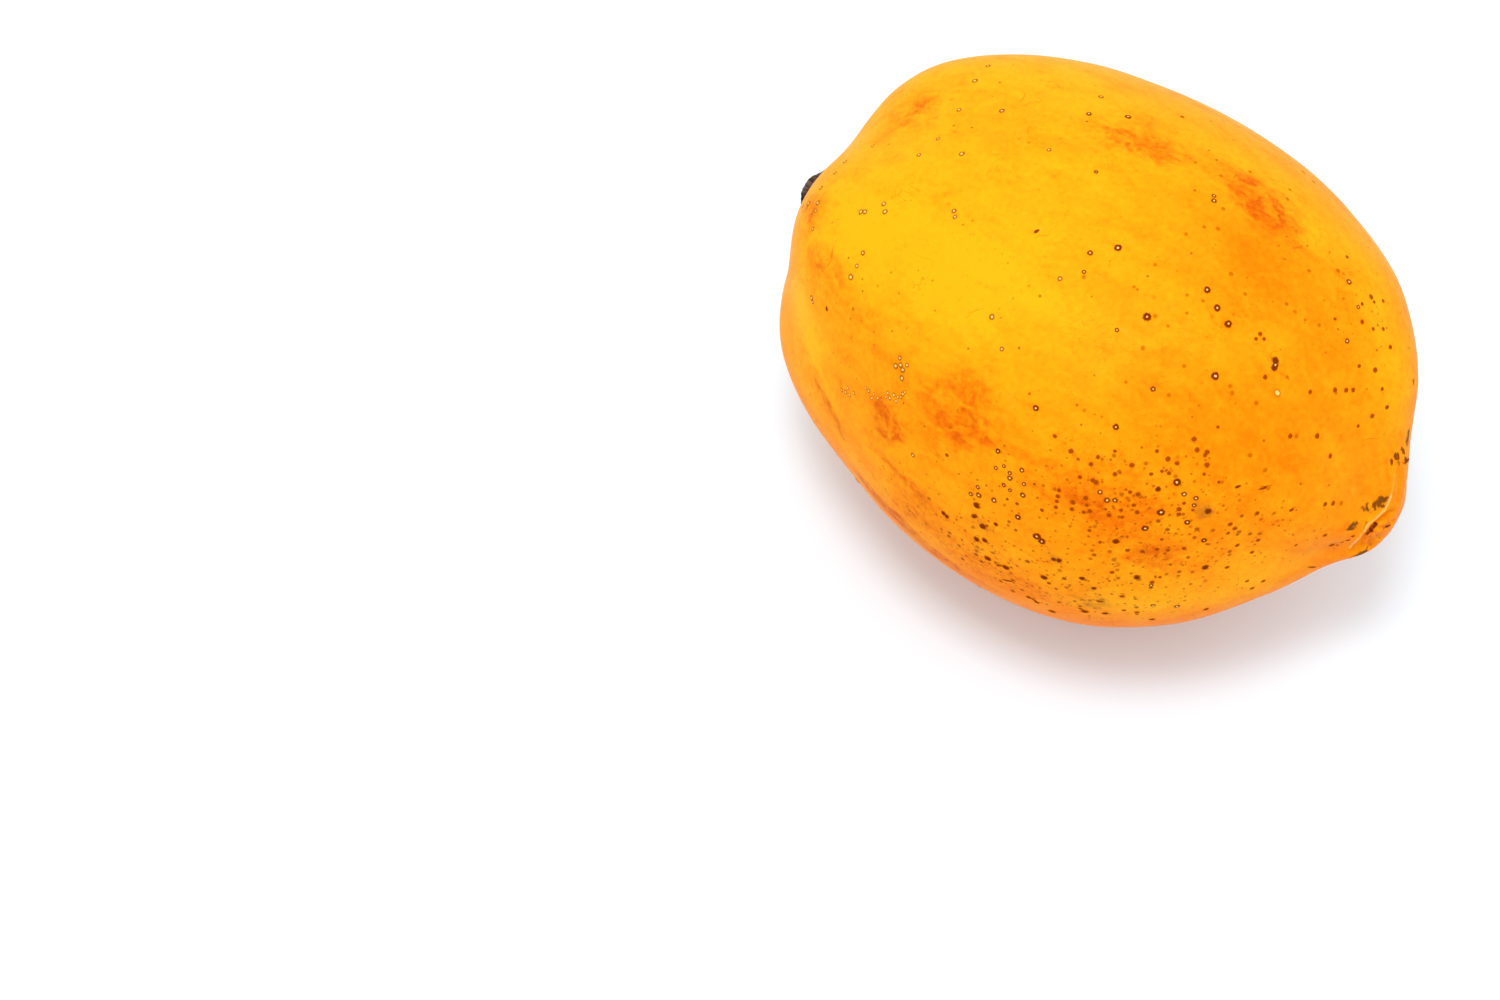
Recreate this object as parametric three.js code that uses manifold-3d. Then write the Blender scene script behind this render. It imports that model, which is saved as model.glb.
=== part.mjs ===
// A ripe papaya lying on its side: the five-ribbed fruit and the dried stub of its stalk.
import * as THREE from 'three';
import { mergeVertices } from 'three/addons/utils/BufferGeometryUtils.js';
import Module from 'manifold-3d';

const wasm = await Module();
wasm.setup();

const { degToRad, lerp, smoothstep } = THREE.MathUtils;

// Driving dimensions, in millimetres and degrees. The fruit's long axis runs along X, with
// the stalk at -X and the blossom scar at +X. Turns about it go from +Y towards +Z, which is up.

const LENGTH = 150; // of the fruit as far as the rim of its domed blossom end

// Half the outline of the fruit, from the middle of the stalk hollow to the blossom scar.
// Each point is the distance along the fruit and the radius there.
const HALF_OUTLINE = [
  [3, 0],
  [3, 7.5],
  [2, 13],
  [0, 18.5],
  [2.5, 27.5],
  [11, 38],
  [28, 48.5],
  [52, 56],
  [78, 58],
  [102, 54],
  [121, 43.5],
  [135, 28],
  [143.5, 14.5],
  [148.5, 8.5],
  [150.4, 5.5],
  [151.2, 2.8],
  [151.4, 0],
];
const RINGS_PER_POINT = 4;
const SEGMENTS = 72;

// Five ribs, one for each carpel. The first stands at RIB_TURN, and each swells differently:
// along the belly, at the shoulder around the stalk, and towards the blossom end.
const RIBS = [
  { belly: 3.5, shoulder: 2, tip: 10 },
  { belly: 2, shoulder: 0.5, tip: 1.5 },
  { belly: 0.5, shoulder: -3, tip: -3 },
  { belly: 1, shoulder: 1.5, tip: -0.5 },
  { belly: 0.5, shoulder: 0, tip: 1 },
];
const RIB_TURN = 52.5;
const RIB_STEP = 360 / RIBS.length;
const RIB_SHARPNESS = 4.5;
const GROOVE_BELLY = 0.3;
const GROOVE_SHOULDER = 2;
const GROOVE_TIP = 1;

// Where the shoulder ends and the tip begins, as distances along the fruit.
const SHOULDER = [5, 53];
const TIP = [105, 145];

// The ribs fade out over these radii, towards the stalk and towards the blossom scar.
const RIB_FADE_STALK = [8, 22];
const RIB_FADE_SCAR = [0, 20];

// Puckers around the blossom scar, as shares of the length and radii.
const PUCKER = 1;
const PUCKER_START = [0.88, 0.97];
const PUCKER_FADE = [0, 9];

// The fruit is wider than high by this share of its radius, and its axis bends sideways.
const FLATTENING = 0.04;
const BOW = 5;
const TIP_SHIFT = -4.5;
const TIP_SHIFT_START = 0.72;
const NECK_SHIFT = -6;
const NECK_SHIFT_END = 0.3;

// The fruit lies with its blossom end slightly raised, on a small flattened spot.
const LIE_TILT = -1.7;
const FOOT_DEPTH = 0.8;

// The stub of the stalk stands in a shallow socket in the hollow, a little clear of it.
const SOCKET_FLOOR = 4.2;
const SOCKET_RADIUS = 7;
const CLEARANCE = 0.3;
const STUB_OUTLINE = [
  [0, 0],
  [0, 6.5],
  [1.6, 6.4],
  [4.5, 6],
  [8.5, 5.9],
  [11, 5.9],
  [12.3, 5],
  [12.8, 2.6],
  [12.4, 0],
];
const STUB_SEGMENTS = 40;
const STUB_RINGS_PER_POINT = 3;
const STUB_LEAN = 0.8;
const STUB_LEAN_HEIGHTS = [0, 13];

// The stub has dried in lengthwise folds, a share of its radius deep, and its end is torn.
const FOLD_DEPTH = 0.06;
const FOLD_HEIGHTS = [1, 5];
const FOLD_WAVES = [{ count: 5, size: 1, start: 1.9 }, { count: 9, size: 0.5, start: 4.7 }];
const TEAR_HEIGHT = 0.4;
const TEAR_HEIGHTS = [7, 12];
const TEAR_RADII = [0, 3.5];
const TEAR_WAVES = [{ count: 3, size: 1, start: 2 }, { count: 7, size: 0.6, start: 1 }];

// How far the axis of the fruit is moved sideways at a share of its length.
function axisShift(share) {
  const bow = BOW * (2 * share - 1) ** 2;
  const tip = TIP_SHIFT * smoothstep(share, TIP_SHIFT_START, 1);
  const neck = NECK_SHIFT * (1 - smoothstep(share, 0, NECK_SHIFT_END));
  return bow + tip + neck;
}

// How far the ribs stand out at a distance along the fruit and a turn about it.
function ribSwell(along, turn) {
  const nearStalk = 1 - smoothstep(along, ...SHOULDER);
  const nearTip = smoothstep(along, ...TIP);
  let swell = 0;
  RIBS.forEach((rib, index) => {
    const away = turn - degToRad(RIB_TURN + index * RIB_STEP);
    const bump = Math.exp(RIB_SHARPNESS * (Math.cos(away) - 1));
    swell += bump * (rib.belly + rib.shoulder * nearStalk + rib.tip * nearTip);
  });
  const groove = GROOVE_BELLY + GROOVE_SHOULDER * nearStalk + GROOVE_TIP * nearTip;
  return swell + groove * Math.cos(RIBS.length * (turn - degToRad(RIB_TURN)));
}

// The place on the skin for a distance along the fruit, a plain radius and a turn.
function onSkin(along, plainRadius, turn) {
  const share = along / LENGTH;
  const fade = share < 0.5 ? RIB_FADE_STALK : RIB_FADE_SCAR;
  const ribbed = plainRadius + smoothstep(plainRadius, ...fade) * ribSwell(along, turn);
  const puckered = smoothstep(share, ...PUCKER_START) * smoothstep(plainRadius, ...PUCKER_FADE);
  const radius = ribbed * (1 + FLATTENING * Math.cos(2 * turn))
    + PUCKER * puckered * Math.cos(RIBS.length * turn);
  return new THREE.Vector3(
    along - LENGTH / 2,
    radius * Math.cos(turn) + axisShift(share),
    radius * Math.sin(turn),
  );
}

// Turns a geometry into a solid whose shared corners are one.
function solidOf(geometry) {
  const bare = geometry.clone();
  bare.deleteAttribute('normal');
  bare.deleteAttribute('uv');
  const merged = mergeVertices(bare, 1e-4);
  return new wasm.Manifold(new wasm.Mesh({
    numProp: 3,
    vertProperties: new Float32Array(merged.attributes.position.array),
    triVerts: new Uint32Array(merged.index.array),
  }));
}

function geometryOf(solid) {
  const mesh = solid.getMesh();
  const geometry = new THREE.BufferGeometry();
  geometry.setAttribute('position', new THREE.BufferAttribute(mesh.vertProperties, 3));
  geometry.setIndex(new THREE.BufferAttribute(mesh.triVerts, 1));
  geometry.computeVertexNormals();
  return geometry;
}

// A curve through points that are given as distance and radius, ready to be turned about Y.
function latheProfile(points, steps) {
  const curve = new THREE.SplineCurve(points.map(([along, radius]) => new THREE.Vector2(radius, along)));
  const profile = curve.getPoints(steps);
  profile[0].x = 0;
  profile[profile.length - 1].x = 0;
  return profile.map((point) => new THREE.Vector2(Math.max(point.x, 0), point.y));
}

function fruitGeometry() {
  const steps = (HALF_OUTLINE.length - 1) * RINGS_PER_POINT;
  const geometry = new THREE.LatheGeometry(latheProfile(HALF_OUTLINE, steps), SEGMENTS);
  const position = geometry.attributes.position;
  for (let i = 0; i < position.count; i += 1) {
    const radius = Math.hypot(position.getX(i), position.getZ(i));
    const turn = Math.atan2(position.getX(i), position.getZ(i));
    const place = onSkin(position.getY(i), radius, turn);
    position.setXYZ(i, place.x, place.y, place.z);
  }
  return geometry;
}

// The socket that the stub stands in, as a cylinder along X.
function socketGeometry() {
  const depth = SOCKET_FLOOR + LENGTH / 10;
  const geometry = new THREE.CylinderGeometry(SOCKET_RADIUS, SOCKET_RADIUS, depth, STUB_SEGMENTS);
  geometry.rotateZ(degToRad(90));
  geometry.translate(SOCKET_FLOOR - depth / 2 - LENGTH / 2, axisShift(0), 0);
  return geometry;
}

// Everything below the plane that flattens the underside, in the fruit's own frame.
function floorGeometry(lie, lowest) {
  const size = 2 * LENGTH;
  const geometry = new THREE.BoxGeometry(size, size, size);
  geometry.translate(0, 0, lowest + FOOT_DEPTH - size / 2);
  return geometry.applyMatrix4(lie.clone().invert());
}

function sumOfWaves(waves, turn) {
  return waves.reduce((sum, { count, size, start }) => sum + size * Math.cos(count * turn + start), 0);
}

function stubGeometry() {
  const steps = (STUB_OUTLINE.length - 1) * STUB_RINGS_PER_POINT;
  const geometry = new THREE.LatheGeometry(latheProfile(STUB_OUTLINE, steps), STUB_SEGMENTS);
  const position = geometry.attributes.position;
  for (let i = 0; i < position.count; i += 1) {
    const turn = Math.atan2(position.getX(i), position.getZ(i));
    const height = position.getY(i);
    const radius = Math.hypot(position.getX(i), position.getZ(i));
    const wide = 1 + FOLD_DEPTH * sumOfWaves(FOLD_WAVES, turn) * smoothstep(height, ...FOLD_HEIGHTS);
    const torn = smoothstep(height, ...TEAR_HEIGHTS) * smoothstep(radius, ...TEAR_RADII);
    const lift = TEAR_HEIGHT * sumOfWaves(TEAR_WAVES, turn) * torn;
    const lean = STUB_LEAN * smoothstep(height, ...STUB_LEAN_HEIGHTS);
    position.setXYZ(i, position.getX(i) * wide - lean, height + lift, position.getZ(i) * wide);
  }
  return geometry;
}

const lie = new THREE.Matrix4().makeRotationY(degToRad(LIE_TILT));
const skin = fruitGeometry();
const lain = skin.clone().applyMatrix4(lie);
lain.computeBoundingBox();

const fruit = new THREE.Mesh(
  geometryOf(solidOf(skin)
    .subtract(solidOf(socketGeometry()))
    .subtract(solidOf(floorGeometry(lie, lain.boundingBox.min.z)))),
  new THREE.MeshStandardMaterial({ color: 0xf8a71c, roughness: 0.42, metalness: 0 }),
);
fruit.name = 'fruit';

const stub = new THREE.Mesh(
  geometryOf(solidOf(stubGeometry())),
  new THREE.MeshStandardMaterial({ color: 0x594a3f, roughness: 0.9, metalness: 0 }),
);
stub.name = 'stalk_stub';
stub.rotation.z = degToRad(90);
stub.position.set(SOCKET_FLOOR - CLEARANCE - LENGTH / 2, axisShift(0), 0);

// The papaya in its lie, then moved so that the middle of its footprint is the origin.
const papaya = new THREE.Group();
papaya.add(fruit, stub);
papaya.rotation.y = degToRad(LIE_TILT);

const placed = new THREE.Group();
placed.add(papaya);
const box = new THREE.Box3().setFromObject(placed, true);
placed.position.set(
  -lerp(box.min.x, box.max.x, 0.5),
  -lerp(box.min.y, box.max.y, 0.5),
  -box.min.z,
);

export default placed;
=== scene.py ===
# %% [markdown]
# # A ripe papaya
# The papaya lies on its side on a pale floor: one ribbed fruit with the dried stub of its stalk.
# The imported model is loaded first and stays as it is, so everything here is made around its real
# sizes. All sizes are in metres, and MM turns a size in millimetres into metres.

# %% Load the imported model
import math

import bpy
import numpy as np
from mathutils import Matrix, Vector
from mathutils.bvhtree import BVHTree


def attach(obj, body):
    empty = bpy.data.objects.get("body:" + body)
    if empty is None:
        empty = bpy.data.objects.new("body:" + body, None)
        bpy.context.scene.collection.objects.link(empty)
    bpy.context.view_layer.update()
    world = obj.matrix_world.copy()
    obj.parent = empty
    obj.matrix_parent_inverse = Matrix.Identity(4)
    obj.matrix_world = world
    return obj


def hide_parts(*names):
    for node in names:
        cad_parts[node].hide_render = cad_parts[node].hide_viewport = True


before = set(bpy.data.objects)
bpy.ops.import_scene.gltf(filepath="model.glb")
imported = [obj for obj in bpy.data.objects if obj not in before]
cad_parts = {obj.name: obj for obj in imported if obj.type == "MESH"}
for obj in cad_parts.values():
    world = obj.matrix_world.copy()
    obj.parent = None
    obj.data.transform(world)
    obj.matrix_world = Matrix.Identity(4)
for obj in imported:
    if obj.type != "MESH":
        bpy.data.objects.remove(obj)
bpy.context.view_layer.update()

MM = 0.001

# %% [markdown]
# ## Expressions that add nodes
# A rule such as `radius * (1 + 0.04 * cosine(2 * turn))` is short as text and long as nodes. Nodes
# could be placed one by one, or the rule could be written once as Python and add its own nodes.
# The second way is used: `Wire` wraps a socket, and each operator adds one Math or Vector Math node.
# The same class serves geometry trees and materials, because both know these nodes.

# %% A socket that takes part in Python expressions
class Wire:
    """A node's output that can stand in a Python expression."""

    def __init__(self, bench, socket):
        self.bench = bench
        self.socket = socket

    def _maths(self, operation, first, second):
        vector = any(is_vector(value) for value in (first, second))
        kind = "ShaderNodeVectorMath" if vector else "ShaderNodeMath"
        return self.bench.node(kind, {"operation": operation}, [first, second])

    def __add__(self, other):
        return self._maths("ADD", self, other)

    def __radd__(self, other):
        return self._maths("ADD", other, self)

    def __sub__(self, other):
        return self._maths("SUBTRACT", self, other)

    def __rsub__(self, other):
        return self._maths("SUBTRACT", other, self)

    def __mul__(self, other):
        return self._maths("MULTIPLY", self, other)

    def __rmul__(self, other):
        return self._maths("MULTIPLY", other, self)

    def __truediv__(self, other):
        return self._maths("DIVIDE", self, other)

    def __rtruediv__(self, other):
        return self._maths("DIVIDE", other, self)

    def __pow__(self, other):
        return self._maths("POWER", self, other)

    def __rpow__(self, other):
        return self._maths("POWER", other, self)


def is_vector(value):
    if isinstance(value, Wire):
        return value.socket.type == "VECTOR"
    return isinstance(value, (tuple, Vector))


# %% A bench that adds nodes to one tree
class Bench:
    """Adds nodes to a tree and joins them."""

    def __init__(self, tree):
        self.tree = tree

    def node(self, kind, settings=None, values=(), out=0):
        """Adds a node, sets it, fills its sockets with values or links, and gives one output."""
        node = self.tree.nodes.new(kind)
        for name, setting in (settings or {}).items():
            setattr(node, name, setting)
        pairs = values.items() if isinstance(values, dict) else enumerate(values)
        for name, value in pairs:
            self.fill(node.inputs[name], value)
        return Wire(self, node.outputs[out]) if len(node.outputs) else node

    def fill(self, socket, value):
        if isinstance(value, Wire):
            self.tree.links.new(value.socket, socket)
        elif socket.type == "VECTOR" and isinstance(value, (int, float)):
            socket.default_value = (value, value, value)
        elif socket.type == "RGBA" and len(value) == 3:
            socket.default_value = (*value, 1.0)
        else:
            socket.default_value = value

    def split(self, vector):
        """The x, y and z of a vector."""
        first = self.node("ShaderNodeSeparateXYZ", values=[vector])
        return [Wire(self, output) for output in first.socket.node.outputs]

    def join(self, x, y, z):
        return self.node("ShaderNodeCombineXYZ", values=[x, y, z])

    def mix(self, share, first, second):
        """The first colour where share is 0, and the second where it is 1."""
        settings = {"data_type": "RGBA", "clamp_factor": True}
        return self.node("ShaderNodeMix", settings, {0: share, 6: first, 7: second}, out=2)


def maths(operation, first, second=0.0):
    return first.bench.node("ShaderNodeMath", {"operation": operation}, [first, second])


def cosine(angle):
    return maths("COSINE", angle)


def sine(angle):
    return maths("SINE", angle)


def ease(value, low, high):
    """0 at low, 1 at high, and a smooth S between them."""
    settings = {"interpolation_type": "SMOOTHSTEP"}
    ends = {"Value": value, "From Min": low, "From Max": high}
    return value.bench.node("ShaderNodeMapRange", settings, ends)


# %% [markdown]
# ## The shape of the fruit
# A papaya grows from five carpels, so its section is a circle with five soft ribs, and its outline
# is a curve that starts in the hollow around the stalk and ends in the blossom scar. It could be
# sculpted, or a sphere could be pushed into shape. Here it follows a rule, so Geometry Nodes make it:
# half the outline is turned about the long axis, each rib swells it by its own amount, and the axis
# bends a little sideways. The numbers are those of the solid model, so both have one form.

# %% Driving sizes of the fruit
LENGTH = 150 * MM
HALF_OUTLINE = [  # distance along the fruit and radius, in millimetres
    (3, 0), (3, 7.5), (2, 13), (0, 18.5), (2.5, 27.5), (11, 38), (28, 48.5), (52, 56), (78, 58),
    (102, 54), (121, 43.5), (135, 28), (143.5, 14.5), (148.5, 8.5), (150.4, 5.5), (151.2, 2.8), (151.4, 0),
]
RIBS = [  # how far each rib stands out along the belly, at the shoulder and at the tip, in mm
    (3.5, 2, 10), (2, 0.5, 1.5), (0.5, -3, -3), (1, 1.5, -0.5), (0.5, 0, 1),
]
RIB_STEP = math.tau / len(RIBS)
RIB_SHARPNESS = 4.5
SHOULDER = (5 * MM, 53 * MM)
TIP = (105 * MM, 145 * MM)
RIB_FADE_STALK = (8 * MM, 22 * MM)
RIB_FADE_SCAR = (0, 20 * MM)
PUCKER_START = (0.88, 0.97)
PUCKER_FADE = (0, 9 * MM)
TIP_SHIFT_START = 0.72
NECK_SHIFT_END = 0.3
SKIN_SIZES = {
    "Rings": 270,
    "Segments": 340,
    "Ring gathering": 1.6,
    "Rib turn": math.radians(52.5),
    "Groove at belly": 0.3 * MM,
    "Groove at shoulder": 2 * MM,
    "Groove at tip": 1 * MM,
    "Pucker": 1 * MM,
    "Flattening": 0.04,
    "Bow": 5 * MM,
    "Tip shift": -4.5 * MM,
    "Neck shift": -6 * MM,
    "Lie tilt": math.radians(-1.7),
    "Middle": Vector((4, -0.12, 56.29)) * MM,  # where the fruit's own middle lies in the model
    "Dimple depth": 0.3 * MM,
}


# %% [markdown]
# The outline is a Bezier curve. Its handles are set so that it passes through the points above in
# the same smooth way as the solid's outline does: each handle points along the line between the
# neighbours of its point, and is a sixth of that line long.

# %% Half the outline as a curve
CURVE_STEPS = 24


def outline_curve(name, points):
    """A Bezier curve in the XY plane: x is the distance along, y the radius."""
    curve = bpy.data.curves.new(name, "CURVE")
    curve.resolution_u = CURVE_STEPS
    spline = curve.splines.new("BEZIER")
    spline.bezier_points.add(len(points) - 1)
    places = [Vector((along * MM, radius * MM, 0)) for along, radius in points]
    for index, bezier in enumerate(spline.bezier_points):
        before = places[max(index - 1, 0)]
        after = places[min(index + 1, len(places) - 1)]
        bezier.handle_left_type = bezier.handle_right_type = "FREE"
        bezier.co = places[index]
        bezier.handle_left = places[index] - (after - before) / 6
        bezier.handle_right = places[index] + (after - before) / 6
    holder = bpy.data.objects.new(name, curve)
    bpy.context.scene.collection.objects.link(holder)
    return holder


# %% [markdown]
# A tree of geometry nodes takes the curve and the sizes as named inputs, so each could also be
# changed by hand in the modifier panel. The sizes are set by the identifier of their socket, the
# result becomes a plain mesh, and the modifier goes. Turning the outline could be left to a Screw
# modifier, but a grid whose corners know their place along the curve can follow any further rule.

# %% Helpers for geometry trees
SOCKETS = {int: "NodeSocketInt", float: "NodeSocketFloat", Vector: "NodeSocketVector"}


def new_tree(name, sizes):
    """A geometry tree with one named input for each size, and its bench and inputs."""
    tree = bpy.data.node_groups.new(name, "GeometryNodeTree")
    tree.interface.new_socket("Geometry", in_out="OUTPUT", socket_type="NodeSocketGeometry")
    tree.interface.new_socket("Geometry", in_out="INPUT", socket_type="NodeSocketGeometry")
    for label, size in sizes.items():
        tree.interface.new_socket(label, in_out="INPUT", socket_type=SOCKETS[type(size)])
    bench = Bench(tree)
    entry = bench.node("NodeGroupInput").socket.node
    return bench, {socket.name: Wire(bench, socket) for socket in entry.outputs if socket.name}


def run_tree(holder, bench, sizes, name):
    """Runs a tree on an object and gives the result as a plain mesh object at the origin."""
    modifier = holder.modifiers.new(name, "NODES")
    modifier.node_group = bench.tree
    for item in bench.tree.interface.items_tree:
        if item.item_type == "SOCKET" and item.in_out == "INPUT" and item.name in sizes:
            modifier[item.identifier] = sizes[item.name]
    evaluated = holder.evaluated_get(bpy.context.evaluated_depsgraph_get())
    mesh = bpy.data.meshes.new_from_object(evaluated)
    mesh.name = name
    holder.modifiers.remove(modifier)
    piece = bpy.data.objects.new(name, mesh)
    bpy.context.scene.collection.objects.link(piece)
    return piece


def turned_grid(bench, geometry, rings, segments, gathering=1.0):
    """A flat grid whose corners know their place along the curve, their radius and their turn.

    Above 1, gathering sets the rings closer together towards the end of the curve."""
    sizes = {"Size X": 1.0, "Size Y": 1.0, "Vertices X": rings, "Vertices Y": segments}
    grid = bench.node("GeometryNodeMeshGrid", values=sizes)
    across, around, _ = bench.split(bench.node("GeometryNodeInputPosition"))
    sample = {"Curves": geometry, "Factor": 1 - (0.5 - across) ** gathering}
    settings = {"mode": "FACTOR"}
    place = bench.node("GeometryNodeSampleCurve", settings, sample, out="Position")
    along, radius, _ = bench.split(place)
    return grid, along, radius, (around + 0.5) * math.tau


# %% [markdown]
# Each rib is a bump that is highest on its own line, `exp(sharpness * (cos(turn - line) - 1))`, and
# its height changes from the shoulder over the belly to the tip. A cosine with five waves cuts the
# soft grooves between them.

# %% The rule of the ribs and of the bent axis
def rib_swell(sizes, along, turn):
    near_stalk = 1 - ease(along, *SHOULDER)
    near_tip = ease(along, *TIP)
    groove = sizes["Groove at belly"] + sizes["Groove at shoulder"] * near_stalk
    groove = groove + sizes["Groove at tip"] * near_tip
    swell = groove * cosine(len(RIBS) * (turn - sizes["Rib turn"]))
    for index, (belly, shoulder, tip) in enumerate(RIBS):
        away = turn - sizes["Rib turn"] - index * RIB_STEP
        bump = maths("EXPONENT", RIB_SHARPNESS * (cosine(away) - 1))
        swell = swell + bump * (belly * MM + shoulder * MM * near_stalk + tip * MM * near_tip)
    return swell


def axis_shift(sizes, share):
    bow = sizes["Bow"] * (2 * share - 1) ** 2
    tip = sizes["Tip shift"] * ease(share, TIP_SHIFT_START, 1)
    return bow + tip + sizes["Neck shift"] * (1 - ease(share, 0, NECK_SHIFT_END))


def on_skin(sizes, along, plain_radius, turn):
    """x, y and z on the skin, in the fruit's own frame."""
    share = along / LENGTH
    first_half = maths("LESS_THAN", share, 0.5)
    fade = first_half * ease(plain_radius, *RIB_FADE_STALK)
    fade = fade + (1 - first_half) * ease(plain_radius, *RIB_FADE_SCAR)
    ribbed = plain_radius + fade * rib_swell(sizes, along, turn)
    puckered = ease(share, *PUCKER_START) * ease(plain_radius, *PUCKER_FADE)
    radius = ribbed * (1 + sizes["Flattening"] * cosine(2 * turn))
    radius = radius + sizes["Pucker"] * puckered * cosine(len(RIBS) * turn)
    across = radius * cosine(turn) + axis_shift(sizes, share)
    return along - LENGTH / 2, across, radius * sine(turn)


# %% [markdown]
# A real skin is never quite even, and its highlights wander because of that. Two sizes of noise press
# shallow dimples into the surface, inwards only, so that the fruit stays inside its measured box.

# %% Shallow dimples
WIDE_DIMPLES = 45
FINE_DIMPLES = 190
FINE_SHARE = 0.15


def noise(bench, place, scale, detail=1.0, distortion=0.0):
    values = {"Vector": place, "Scale": scale, "Detail": detail, "Distortion": distortion}
    return bench.node("ShaderNodeTexNoise", values=values)


def dimpled(bench, shape, depth):
    place = bench.node("GeometryNodeInputPosition")
    pressed = noise(bench, place, WIDE_DIMPLES) + noise(bench, place, FINE_DIMPLES) * FINE_SHARE
    offset = bench.node("GeometryNodeInputNormal") * bench.join(*[pressed * depth * -1] * 3)
    return bench.node("GeometryNodeSetPosition", values={"Geometry": shape, "Offset": offset})


def laid_down(bench, sizes, x, y, z):
    """Tilts a point of the fruit's own frame into the way the fruit lies."""
    tilt_cosine = cosine(sizes["Lie tilt"])
    tilt_sine = sine(sizes["Lie tilt"])
    lain = bench.join(x * tilt_cosine + z * tilt_sine, y, z * tilt_cosine - x * tilt_sine)
    return lain + sizes["Middle"]


# %% [markdown]
# The tree of the fruit puts these rules in a row: turn the outline, lay the fruit down, weld the
# seam, turn the faces outwards, press the dimples in, and flatten what would sink into the floor.
# Each corner also keeps its place along and around the fruit, for the colours to find later.

# %% The tree that makes the fruit
WELD = 2e-6


def closed_and_smooth(bench, shape, material):
    """Ends a tree: one closed, smooth surface with its material."""
    shape = bench.node("GeometryNodeSetShadeSmooth", values={"Geometry": shape})
    shape = bench.node("GeometryNodeRealizeInstances", values=[shape])
    shape = bench.node("GeometryNodeSetMaterial", values={"Geometry": shape, "Material": material})
    bench.node("NodeGroupOutput", values=[shape])


def fruit_tree(material):
    bench, sizes = new_tree("ribbed fruit", SKIN_SIZES)
    counts = sizes["Rings"], sizes["Segments"], sizes["Ring gathering"]
    grid, along, radius, turn = turned_grid(bench, sizes["Geometry"], *counts)
    lain = laid_down(bench, sizes, *on_skin(sizes, along, radius, turn))
    fruit_place = bench.join(along, cosine(turn), sine(turn))
    shape = bench.node(
        "GeometryNodeStoreNamedAttribute",
        {"data_type": "FLOAT_VECTOR", "domain": "POINT"},
        {"Geometry": grid, "Name": "fruit_place", "Value": fruit_place},
    )
    shape = bench.node("GeometryNodeSetPosition", values={"Geometry": shape, "Position": lain})
    shape = bench.node("GeometryNodeMergeByDistance", values={"Geometry": shape, "Distance": WELD})
    shape = bench.node("GeometryNodeFlipFaces", values=[shape])
    shape = dimpled(bench, shape, sizes["Dimple depth"])
    x, y, z = bench.split(bench.node("GeometryNodeInputPosition"))
    flat = bench.join(x, y, maths("MAXIMUM", z, 0.0))
    shape = bench.node("GeometryNodeSetPosition", values={"Geometry": shape, "Position": flat})
    closed_and_smooth(bench, shape, material)
    return bench


# %% Make the fruit, and measure it
SKIN = bpy.data.materials.new("ripe papaya skin")
half_outline = outline_curve("half_outline", HALF_OUTLINE)
skin = run_tree(half_outline, fruit_tree(SKIN), SKIN_SIZES, "papaya_skin")
bpy.data.objects.remove(half_outline)


MILLILITRES = 1e6  # in a cubic metre


def report(piece):
    """Prints a piece's size, and its volume, which is above 0 where the faces point outwards."""
    mesh = piece.data
    places = np.empty(len(mesh.vertices) * 3)
    mesh.vertices.foreach_get("co", places)
    places = places.reshape(-1, 3)
    volume = sum(face.center.dot(face.normal) * face.area for face in mesh.polygons) / 3
    low, high = places.min(axis=0) / MM, places.max(axis=0) / MM
    print(piece.name, "faces", len(mesh.polygons), "low", low.round(2), "high", high.round(2))
    print("volume in ml", round(volume * MILLILITRES, 2))


report(skin)

# %% [markdown]
# ## The camera
# The camera looks down steeply on the fruit, from the side of its blossom end, through a long lens
# that hardly distorts. It could be placed by hand and eye. Here it follows from two angles, one
# point of the fruit and the pixel where that point appears, so the framing is exact. It comes before
# the marks on the skin, because many of them are placed by where the photograph shows them.

# %% Camera
PHOTO_WIDTH = 1500
PHOTO_HEIGHT = 1000
SENSOR = 36
LENS = 85
AZIMUTH = math.radians(37.09)
ELEVATION = math.radians(61)
AIM = SKIN_SIZES["Middle"] + Vector((-4.61, 0.12, -0.29)) * MM
AIM_PIXEL = (1091.9, 349.3)
AIM_DEPTH = 0.8194

focal_pixels = LENS / SENSOR * PHOTO_WIDTH
right = Vector((math.cos(AZIMUTH), math.sin(AZIMUTH), 0))
back = Vector((
    math.sin(AZIMUTH) * math.cos(ELEVATION),
    -math.cos(AZIMUTH) * math.cos(ELEVATION),
    math.sin(ELEVATION),
))
up = back.cross(right)
ray = right * (AIM_PIXEL[0] - PHOTO_WIDTH / 2) / focal_pixels
ray = ray - up * (AIM_PIXEL[1] - PHOTO_HEIGHT / 2) / focal_pixels - back
lens = bpy.data.cameras.new("photo_camera")
lens.lens = LENS
lens.sensor_width = SENSOR
camera = bpy.data.objects.new("photo_camera", lens)
eye = AIM - ray * AIM_DEPTH
camera.matrix_world = Matrix.Translation(eye) @ Matrix((right, up, back)).transposed().to_4x4()
bpy.context.scene.collection.objects.link(camera)
bpy.context.scene.camera = camera
bpy.context.scene.view_settings.view_transform = "Standard"
print("camera at", eye)

# %% [markdown]
# ## The creased blossom end
# Where the flower sat, the skin is drawn together: a sharp lip, a valley behind it with a small dark
# scar, and short creases that run out from the scar. These could be sculpted. Here each crease is a
# line through a few pixels of the photograph, and the corners of the skin near that line are pressed
# in, or lifted for the lip. So the light catches real edges.

# %% Finding what the photograph shows
def searchable(mesh):
    """A tree of a mesh's faces, in which a ray finds its first face quickly."""
    corners = [corner.co for corner in mesh.vertices]
    return BVHTree.FromPolygons(corners, [face.vertices for face in mesh.polygons])


skin_tree = searchable(skin.data)


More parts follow.
